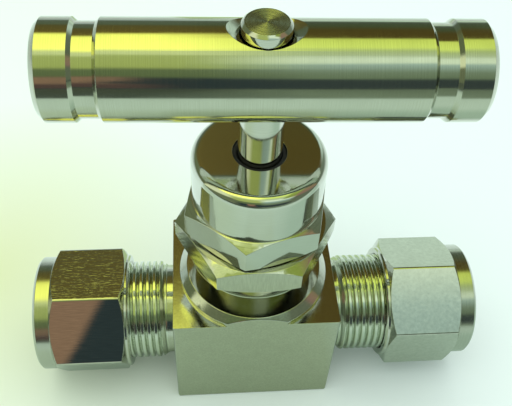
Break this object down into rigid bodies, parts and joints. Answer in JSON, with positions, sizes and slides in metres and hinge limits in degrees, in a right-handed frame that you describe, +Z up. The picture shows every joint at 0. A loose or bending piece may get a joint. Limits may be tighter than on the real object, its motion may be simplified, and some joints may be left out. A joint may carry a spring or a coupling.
{
  "type": "needle valve",
  "caption": "Inline needle valve with a bar handle on a rising screw stem, a packing nut, and a twin-ferrule compression tube fitting at each end of a square body.",
  "frame": {"origin": "where the stem axis meets the underside of the body block", "axes": "+Z up the stem axis towards the handle, +X along the flow axis towards the right tube end, +Y towards the side with the handle's set screw"},
  "size_m": [0.0843, 0.0254, 0.0814],
  "materials": {
    "body_steel": "satin machined stainless steel",
    "bonnet_steel": "polished stainless steel",
    "packing_nut_steel": "mirror-polished stainless steel",
    "stem_steel": "ground and polished stainless steel",
    "handle_steel": "turned bar with fine tool lines",
    "nut_steel": "bright drawn stainless steel",
    "ferrule_steel": "smooth turned stainless steel",
    "screw_steel": "black oxide",
    "packing_white": "PTFE",
    "gasket_silver": "silver-plated soft metal",
    "ring_rubber": "black elastomer"
  },
  "bodies": {
    "valve_body": {"body": "body_steel", "bonnet": "bonnet_steel", "bonnet_gasket": "gasket_silver", "lower_gland": "stem_steel", "packing_ring_lower": "packing_white", "packing_ring_middle": "packing_white", "packing_ring_upper": "packing_white", "upper_gland": "stem_steel"},
    "needle": {"needle_tip": "stem_steel"},
    "handle": {"stem": "stem_steel", "handle_bar": "handle_steel", "handle_set_screw": "screw_steel"},
    "dust_ring": {"stem_dust_ring": "ring_rubber"},
    "packing_nut": {"packing_nut": "packing_nut_steel"},
    "left_ferrules": {"front_ferrule_left": "ferrule_steel", "rear_ferrule_left": "ferrule_steel"},
    "left_nut": {"tube_nut_left": "nut_steel"},
    "right_ferrules": {"front_ferrule_right": "ferrule_steel", "rear_ferrule_right": "ferrule_steel"},
    "right_nut": {"tube_nut_right": "nut_steel"}
  },
  "joints": [
    {"name": "handle_travel", "type": "slide", "parent": "valve_body", "child": "needle", "axis": [0, 0, 1], "range_m": [0, 0.00635]},
    {"name": "handle_turn", "type": "hinge", "parent": "needle", "child": "handle", "pos_m": [0, 0, 0.0733], "axis": [0, 0, 1], "range_deg": [0, 1800]},
    {"name": "packing_nut_travel", "type": "slide", "parent": "valve_body", "child": "dust_ring", "axis": [0, 0, 1], "range_m": [0, 0.00381]},
    {"name": "packing_nut_turn", "type": "hinge", "parent": "dust_ring", "child": "packing_nut", "pos_m": [0, 0, 0.05], "axis": [0, 0, 1], "range_deg": [0, 1080]},
    {"name": "left_nut_travel", "type": "slide", "parent": "valve_body", "child": "left_ferrules", "axis": [-1, 0, 0], "range_m": [0, 0.00635]},
    {"name": "left_nut_turn", "type": "hinge", "parent": "left_ferrules", "child": "left_nut", "pos_m": [-0.03, 0, 0.01357], "axis": [-1, 0, 0], "range_deg": [0, 1800]},
    {"name": "right_nut_travel", "type": "slide", "parent": "valve_body", "child": "right_ferrules", "axis": [1, 0, 0], "range_m": [0, 0.00635]},
    {"name": "right_nut_turn", "type": "hinge", "parent": "right_ferrules", "child": "right_nut", "pos_m": [0.03, 0, 0.01357], "axis": [1, 0, 0], "range_deg": [0, 1800]}
  ],
  "couplings": [
    {"joint": "handle_travel", "follows": "handle_turn", "m_per_rad": 0.00020213},
    {"joint": "packing_nut_travel", "follows": "packing_nut_turn", "m_per_rad": 0.00020213},
    {"joint": "left_nut_travel", "follows": "left_nut_turn", "m_per_rad": 0.00020213},
    {"joint": "right_nut_travel", "follows": "right_nut_turn", "m_per_rad": 0.00020213}
  ]
}
